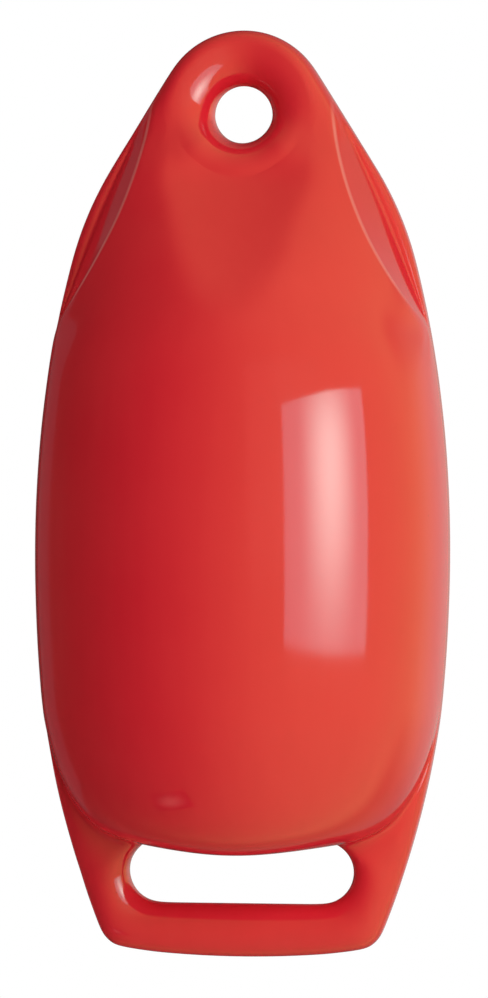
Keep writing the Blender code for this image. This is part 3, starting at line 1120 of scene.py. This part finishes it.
@dataclass(frozen=True)
class RedPlastic:
    """Glossy red moulded plastic, a little cloudy and wavy, with fine specks and a painted highlight along
    its ridges.
    """

    colour: tuple = (0.675, 0.0165, 0.029)
    cloudy_colour: tuple = (0.695, 0.0215, 0.032)
    cloud_scale: float = 22.0
    cloud_detail: float = 3.0
    streak_scale: float = 160.0
    streak_detail: float = 2.0
    streak_stretch: Point = (1.0, 1.0, 0.05)
    streak_share: float = 0.3
    tone_span: Pair = (0.3, 0.7)
    speck_colour: tuple = (0.30, 0.02, 0.02)
    speck_scale: float = 25.0
    speck_reach: float = 0.014
    speck_strength: float = 0.8
    # Painted highlight: a pale line laid into the colour along the edge between the front and the scoops.
    ridge_highlight_colour: tuple = (0.85, 0.30, 0.26)
    ridge_highlight_strength: float = 0.42
    ridge_highlight_reach: Pair = (0.15, 0.85)
    ridge_highlight_low: Pair = (232.0, 250.0)
    ridge_highlight_high: Pair = (300.0, 318.0)
    roughness: Pair = (0.06, 0.10)
    ior: float = 1.49
    rim_span: Pair = (0.5, 0.95)
    rim_gloss: Pair = (0.5, 0.12)
    wave_scale: float = 26.0
    wave_detail: float = 1.0
    wave_height: float = 0.0001
    grain_scale: float = 900.0
    grain_detail: float = 2.0
    grain_height: float = 0.000004

    def build(self, form: BuoyForm) -> bpy.types.Material:
        """Make the material.

        Args:
            form: Form that gives the ridges their place.

        Returns:
            The material, which reads Object coordinates alone.
        """
        material, pen = empty_material("red_plastic")
        place = pen.add("ShaderNodeTexCoord").outputs["Object"]
        tone = self.tone(pen, place)
        turned = pen.add("ShaderNodeLayerWeight").outputs["Facing"]
        inputs = {
            "Base Color": self.base_colour(pen, place, tone, form),
            "Roughness": pen.spread(tone, *self.tone_span, *self.roughness),
            "IOR": self.ior,
            "Specular IOR Level": pen.spread(turned, *self.rim_span, *self.rim_gloss),
            "Normal": self.bumps(pen, place),
        }
        shader = pen.add("ShaderNodeBsdfPrincipled", inputs)
        pen.add("ShaderNodeOutputMaterial", {"Surface": shader.outputs[0]})
        return material

    def tone(self, pen: NodePen, place: bpy.types.NodeSocket) -> bpy.types.NodeSocket:
        """Mix soft clouds and streaks that run up the buoy.

        Args:
            pen: Pen of the material's tree.
            place: Object coordinates in metres.

        Returns:
            Pattern between 0 and 1.
        """
        cloud = self.noise(pen, place, self.cloud_scale, self.cloud_detail)
        stretch = pen.add("ShaderNodeMapping", {"Vector": place, "Scale": self.streak_stretch})
        streak = self.noise(pen, stretch.outputs[0], self.streak_scale, self.streak_detail)
        cloud = pen.maths("MULTIPLY", cloud, 1.0 - self.streak_share)
        return pen.maths("ADD", cloud, pen.maths("MULTIPLY", streak, self.streak_share))

    def base_colour(
        self, pen: NodePen, place: bpy.types.NodeSocket, tone: bpy.types.NodeSocket, form: BuoyForm
    ) -> bpy.types.NodeSocket:
        """Lay clouds, specks and a painted highlight along the ridges on the red.

        Args:
            pen: Pen of the material's tree.
            place: Object coordinates in metres.
            tone: Pattern of clouds and streaks.
            form: Form that gives the ridges their place.

        Returns:
            Colour of the plastic.
        """
        speck = pen.add("ShaderNodeTexVoronoi", {"Vector": place, "Scale": self.speck_scale})
        near = speck.outputs["Distance"]
        layers = (
            (pen.spread(tone, *self.tone_span, 0.0, 1.0), self.cloudy_colour),
            (pen.spread(near, 0.0, self.speck_reach, self.speck_strength, 0.0), self.speck_colour),
            # Painted highlight along the ridges, laid into the colour.
            (self.painted_ridge_highlight(pen, place, form), self.ridge_highlight_colour),
        )
        colour = (*self.colour, 1.0)
        for mask, over in layers:
            colour = pen.mixed({"Factor": mask, "A": colour, "B": (*over, 1.0)})
        return colour

    def bumps(self, pen: NodePen, place: bpy.types.NodeSocket) -> bpy.types.NodeSocket:
        """Raise broad waves and a fine grain.

        Args:
            pen: Pen of the material's tree.
            place: Object coordinates in metres.

        Returns:
            Normal of the surface.
        """
        wave = self.noise(pen, place, self.wave_scale, self.wave_detail)
        grain = self.noise(pen, place, self.grain_scale, self.grain_detail)
        inputs = {"Height": wave, "Distance": self.wave_height, "Strength": 1.0}
        waves = pen.add("ShaderNodeBump", inputs).outputs[0]
        inputs = {"Height": grain, "Distance": self.grain_height, "Strength": 1.0, "Normal": waves}
        return pen.add("ShaderNodeBump", inputs).outputs[0]

    def painted_ridge_highlight(
        self, pen: NodePen, place: bpy.types.NodeSocket, form: BuoyForm
    ) -> bpy.types.NodeSocket:
        """Mask of the thin painted highlight along the edge between the front and the scoops.

        Args:
            pen: Pen of the material's tree.
            place: Object coordinates in metres.
            form: Form that gives the ridge's curve.

        Returns:
            Mask between 0 and the highlight's strength.
        """
        sizes = form.scoop
        apart = pen.add("ShaderNodeSeparateXYZ", {0: place}).outputs
        x = pen.maths("DIVIDE", pen.maths("ABSOLUTE", apart["X"]), MM)
        height = pen.maths("ADD", pen.maths("DIVIDE", apart["Z"], MM), form.eye_height)
        drop = pen.maths("SUBTRACT", sizes.ridge_top, height)
        chord = pen.maths("SUBTRACT", sizes.ridge_curve**2, pen.maths("MULTIPLY", drop, drop))
        arc = pen.maths("SUBTRACT", sizes.ridge_curve, pen.maths("SQRT", chord))
        curve = pen.maths("ADD", arc, sizes.ridge_half_width)
        away = pen.maths("ABSOLUTE", pen.maths("SUBTRACT", x, curve))
        line = pen.spread(away, *self.ridge_highlight_reach, self.ridge_highlight_strength, 0.0)
        line = pen.maths("MULTIPLY", line, pen.spread(height, *self.ridge_highlight_low, 0.0, 1.0))
        return pen.maths("MULTIPLY", line, pen.spread(height, *self.ridge_highlight_high, 1.0, 0.0))

    def noise(
        self, pen: NodePen, place: bpy.types.NodeSocket, scale: float, detail: float
    ) -> bpy.types.NodeSocket:
        """Return a noise pattern between 0 and 1."""
        node = pen.add("ShaderNodeTexNoise", {"Vector": place, "Scale": scale, "Detail": detail})
        return node.outputs["Fac"]


@dataclass
class Buoy:
    """The whole buoy: one moulding."""

    form: BuoyForm
    finish: RedPlastic
    tree: MouldTree

    def build(self) -> bpy.types.Object:
        """Return the finished moulding, riding on the part's body.

        Returns:
            The piece that stands for the solid.
        """
        piece = placed("moulded_buoy", QuarterCage(self.form).build())
        self.tree.apply(piece, self.finish.build(self.form))
        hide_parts("buoy_body")
        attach(piece, "root")
        return piece


class PanelUse(Enum):
    """What a panel of the studio does to the glossy plastic."""

    MIRRORED = "mirrored"
    LIGHTING = "lighting"


@dataclass(frozen=True)
class SoftPanel:
    """Flat glowing panel that faces the buoy, with a brighter core and one fading side.

    Places and reaches on the panel are shares of its half width and half height.
    """

    name: str
    use: PanelUse
    azimuth: float
    elevation: float
    glow: float
    distance: float = 1.2
    width: float = 0.9
    height: float = 0.9
    colour: tuple = (1.0, 1.0, 1.0)
    faded_glow: float = 1.0
    fade: Pair = (-1.1, -0.3)
    core_glow: float = 0.0
    core_place: Pair = (0.0, 0.0)
    core_reach: Pair = (1.0, 1.0)

    def build(self, aim: Vector) -> bpy.types.Object:
        """Return the panel, turned to the point that it lights.

        Args:
            aim: Point that it faces.

        Returns:
            The panel.
        """
        signs = ((-1.0, -1.0), (1.0, -1.0), (1.0, 1.0), (-1.0, 1.0))
        corners = [(self.width / 2.0 * across, self.height / 2.0 * above, 0.0) for across, above in signs]
        mesh = bpy.data.meshes.new(self.name)
        mesh.from_pydata(corners, [], [tuple(range(len(corners)))])
        mesh.materials.append(self.material())
        panel = placed(self.name, mesh)
        way = direction(self.azimuth, self.elevation)
        panel.location = aim + way * self.distance
        panel.rotation_euler = way.to_track_quat("Z", "Y").to_euler()
        panel.visible_camera = False
        panel.visible_shadow = False
        panel.visible_diffuse = self.use is PanelUse.LIGHTING
        panel.visible_glossy = self.use is PanelUse.MIRRORED
        return panel

    def material(self) -> bpy.types.Material:
        """Return the panel's glow, which only the side towards the buoy gives.

        Returns:
            Material of the panel.
        """
        material, pen = empty_material(self.name)
        place = pen.add("ShaderNodeTexCoord").outputs["Object"]
        place = pen.add("ShaderNodeSeparateXYZ", {0: place}).outputs
        across = pen.maths("MULTIPLY", place["X"], 2.0 / self.width)
        upwards = pen.maths("MULTIPLY", place["Y"], 2.0 / self.height)
        glow = pen.spread(across, *self.fade, self.glow * self.faded_glow, self.glow)
        beside = pen.maths("ABSOLUTE", pen.maths("SUBTRACT", across, self.core_place[0]))
        above = pen.maths("ABSOLUTE", pen.maths("SUBTRACT", upwards, self.core_place[1]))
        core = pen.spread(beside, 0.0, self.core_reach[0], self.core_glow, 0.0)
        core = pen.maths("MULTIPLY", core, pen.spread(above, 0.0, self.core_reach[1], 1.0, 0.0))
        back = pen.add("ShaderNodeNewGeometry").outputs["Backfacing"]
        strength = pen.maths("MULTIPLY", pen.maths("ADD", glow, core), back)
        emit = pen.add("ShaderNodeEmission", {"Color": (*self.colour, 1.0), "Strength": strength})
        pen.add("ShaderNodeOutputMaterial", {"Surface": emit.outputs[0]})
        return material


@dataclass(frozen=True)
class PaleFloor:
    """Plain pale floor under the hanging buoy, clear at its rim and from below."""

    drop: float = 0.19
    radius: float = 1.1
    segments: int = 96
    solid_share: float = 0.35
    clear_share: float = 0.95
    tone: float = 0.86

    def build(self, low: float) -> bpy.types.Object:
        """Return the floor, a little below the buoy's lowest point.

        Args:
            low: Height of the buoy's lowest point.

        Returns:
            The floor.
        """
        mesh = bpy.data.meshes.new("floor")
        cage = bmesh.new()
        bmesh.ops.create_circle(cage, cap_ends=True, radius=self.radius, segments=self.segments)
        bmesh.ops.translate(cage, verts=cage.verts, vec=(0.0, 0.0, low - self.drop))
        cage.to_mesh(mesh)
        cage.free()
        mesh.materials.append(self.material())
        floor = placed("floor", mesh)
        floor.visible_glossy = False
        return floor

    def material(self) -> bpy.types.Material:
        """Return the floor's matt finish, which fades out towards its rim.

        Returns:
            Material of the floor.
        """
        material, pen = empty_material("floor")
        place = pen.add("ShaderNodeTexCoord").outputs["Object"]
        flat = pen.add("ShaderNodeMapping", {"Vector": place, "Scale": (1.0, 1.0, 0.0)}).outputs[0]
        reach = pen.add("ShaderNodeVectorMath", {0: flat}, operation="LENGTH").outputs["Value"]
        fade = pen.spread(reach, self.radius * self.solid_share, self.radius * self.clear_share, 0.0, 1.0)
        fade = pen.maths("MAXIMUM", fade, pen.add("ShaderNodeNewGeometry").outputs["Backfacing"])
        matt = pen.add("ShaderNodeBsdfDiffuse", {"Color": (self.tone, self.tone, self.tone, 1.0)})
        clear = pen.add("ShaderNodeBsdfTransparent")
        both = pen.add("ShaderNodeMixShader", {0: fade, 1: matt.outputs[0], 2: clear.outputs[0]})
        pen.add("ShaderNodeOutputMaterial", {"Surface": both.outputs[0]})
        return material


@dataclass(frozen=True)
class Studio:
    """White background, and a soft room that is dark on the left and warm on the right."""

    room_tone: float = 0.14
    mirror_span: Pair = (-0.9, 0.9)
    mirror_glow: Pair = (0.04, 1.55)
    behind_span: Pair = (0.55, 0.9)
    behind_share: Pair = (0.1, 0.75)
    behind_side: Pair = (-0.25, 0.3)
    steep_span: Pair = (0.1, 0.5)
    steep_depth: Pair = (0.2, 0.45)
    steep_share: float = 0.45
    warm: tuple = (1.0, 0.85, 0.30)
    pale_span: Pair = (0.35, 0.95)
    pale: tuple = (1.0, 0.84, 0.74)
    panels: tuple = (
        SoftPanel(
            "window_panel", PanelUse.MIRRORED, azimuth=51.0, elevation=4.5, distance=1.0, width=0.9,
            height=0.56, glow=3.7, colour=(0.62, 1.0, 0.90), faded_glow=0.8, core_glow=9.0,
            core_place=(0.06, 0.2), core_reach=(0.75, 1.5),
        ),
        SoftPanel(
            "low_panel", PanelUse.MIRRORED, azimuth=-45.0, elevation=-55.0, distance=0.34, width=0.1,
            height=0.05, glow=0.0, colour=(1.0, 0.75, 0.60), core_glow=1.0,
        ),
        SoftPanel(
            "left_panel", PanelUse.MIRRORED, azimuth=-138.0, elevation=0.0, distance=1.2, width=0.5,
            height=1.2, glow=0.1,
        ),
        SoftPanel("top_panel", PanelUse.LIGHTING, azimuth=10.0, elevation=65.0, glow=0.8),
        SoftPanel("key_panel", PanelUse.LIGHTING, azimuth=28.0, elevation=15.0, glow=4.8),
        SoftPanel("left_back_panel", PanelUse.LIGHTING, azimuth=-130.0, elevation=10.0, glow=3.3),
        SoftPanel("right_back_panel", PanelUse.LIGHTING, azimuth=128.0, elevation=10.0, glow=2.7),
    )

    def build(self, aim: Vector) -> None:
        """Make the world and the panels that light a point.

        Args:
            aim: Point that the panels face.
        """
        self.build_world()
        for panel in self.panels:
            panel.build(aim)

    def build_world(self) -> None:
        """Make the room: white to the camera, even for light, and brighter on the right for gloss."""
        world = bpy.data.worlds.new("studio")
        bpy.context.scene.world = world
        world.use_nodes = True
        world.node_tree.nodes.clear()
        pen = NodePen(world.node_tree)
        way = pen.add("ShaderNodeTexCoord").outputs["Generated"]
        way = pen.add("ShaderNodeSeparateXYZ", {0: way}).outputs
        path = pen.add("ShaderNodeLightPath").outputs
        mirror = self.mirrored_glow(pen, way)
        inputs = {"Factor": path["Is Glossy Ray"], "A": self.room_tone, "B": mirror}
        seen = pen.add("ShaderNodeMix", inputs).outputs[0]
        seen = pen.maths("MAXIMUM", seen, path["Is Transmission Ray"])
        seen = pen.maths("MAXIMUM", seen, path["Is Camera Ray"])
        paler = pen.spread(way["Y"], *self.pale_span, 0.0, 1.0)
        tint = pen.mixed({"Factor": paler, "A": (*self.warm, 1.0), "B": (*self.pale, 1.0)})
        tint = pen.mixed({"Factor": path["Is Glossy Ray"], "A": WHITE, "B": tint})
        sky = pen.add("ShaderNodeBackground", {"Color": tint, "Strength": seen})
        pen.add("ShaderNodeOutputWorld", {"Surface": sky.outputs[0]})

    def mirrored_glow(self, pen: NodePen, way: bpy.types.bpy_prop_collection) -> bpy.types.NodeSocket:
        """Brighten the mirrored room to the right, and dim it behind, above and below.

        Args:
            pen: Pen of the world's tree.
            way: X, Y and Z of the direction looked at.

        Returns:
            Strength of the room in the gloss.
        """
        glow = pen.spread(way["X"], *self.mirror_span, *self.mirror_glow)
        share = pen.spread(way["X"], *self.behind_side, *self.behind_share)
        behind = pen.spread(way["Y"], *self.behind_span, 0.0, 1.0)
        steep = pen.spread(pen.maths("ABSOLUTE", way["Z"]), *self.steep_span, 0.0, 1.0)
        steep = pen.maths("MULTIPLY", steep, pen.spread(way["Y"], *self.steep_depth, 0.0, 1.0))
        glow = pen.maths("MULTIPLY", glow, self.dimmed(pen, behind, share))
        return pen.maths("MULTIPLY", glow, self.dimmed(pen, steep, self.steep_share))

    def dimmed(self, pen: NodePen, mask: bpy.types.NodeSocket, share: object) -> bpy.types.NodeSocket:
        """Return 1 where a mask is 0, and a share where it is 1."""
        lost = pen.maths("SUBTRACT", 1.0, share)
        return pen.maths("SUBTRACT", 1.0, pen.maths("MULTIPLY", mask, lost))


@dataclass(frozen=True)
class PhotoCamera:
    """Camera at the photograph's viewing angle, for a picture of 488 by 998 pixels."""

    azimuth: float = 5.0
    elevation: float = 0.0
    roll: float = 0.18
    distance: float = 1.3
    seen_height: float = 0.3665
    sensor: float = 36.0
    aim: Point = (0.0005, 0.0, -0.141)

    def build(self) -> bpy.types.Object:
        """Return the camera, set as the scene's own.

        Returns:
            The camera.
        """
        data = bpy.data.cameras.new("camera")
        data.sensor_fit = "VERTICAL"
        data.sensor_height = self.sensor
        data.lens = self.sensor * self.distance / self.seen_height
        camera = placed("camera", data)
        way = direction(self.azimuth, self.elevation)
        camera.location = Vector(self.aim) + way * self.distance
        turned = way.to_track_quat("Z", "Y") @ Quaternion((0.0, 0.0, 1.0), math.radians(self.roll))
        camera.rotation_euler = turned.to_euler()
        bpy.context.scene.camera = camera
        return camera


def main() -> None:
    """Build the camera, the buoy and the studio."""
    logging.basicConfig(level=logging.INFO, format="%(name)s: %(message)s")
    bpy.context.scene.view_settings.view_transform = "Standard"
    camera = PhotoCamera()
    camera.build()
    buoy = Buoy(BuoyForm(), RedPlastic(), MouldTree()).build()
    log.info("%s: %d faces", buoy.name, len(buoy.data.polygons))
    floor = PaleFloor().build(CAD_BOX[0][2])
    log.info("%s: %d faces", floor.name, len(floor.data.polygons))
    Studio().build(Vector(camera.aim))


if __name__ == "__main__":
    main()
